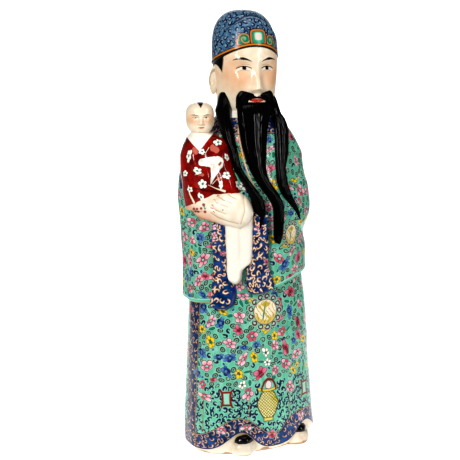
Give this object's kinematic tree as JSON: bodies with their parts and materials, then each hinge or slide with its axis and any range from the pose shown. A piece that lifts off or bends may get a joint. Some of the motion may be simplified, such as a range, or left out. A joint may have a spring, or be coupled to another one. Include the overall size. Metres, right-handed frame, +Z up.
{
  "type": "porcelain fu xing figure",
  "caption": "Standing porcelain figure of a bearded star god in a long robe with hanging sleeves, holding a child on his right arm; flat base",
  "frame": {"origin": "middle of the bounding box, at the underside of the base", "axes": "+Z up; the figure faces -Y; +X is the figure's left, so the child sits on the -X side"},
  "size_m": [0.203, 0.1475, 0.6],
  "materials": {
    "porcelain": null
  },
  "bodies": {
    "root": {"fu_xing_figure": "porcelain"}
  },
  "joints": []
}
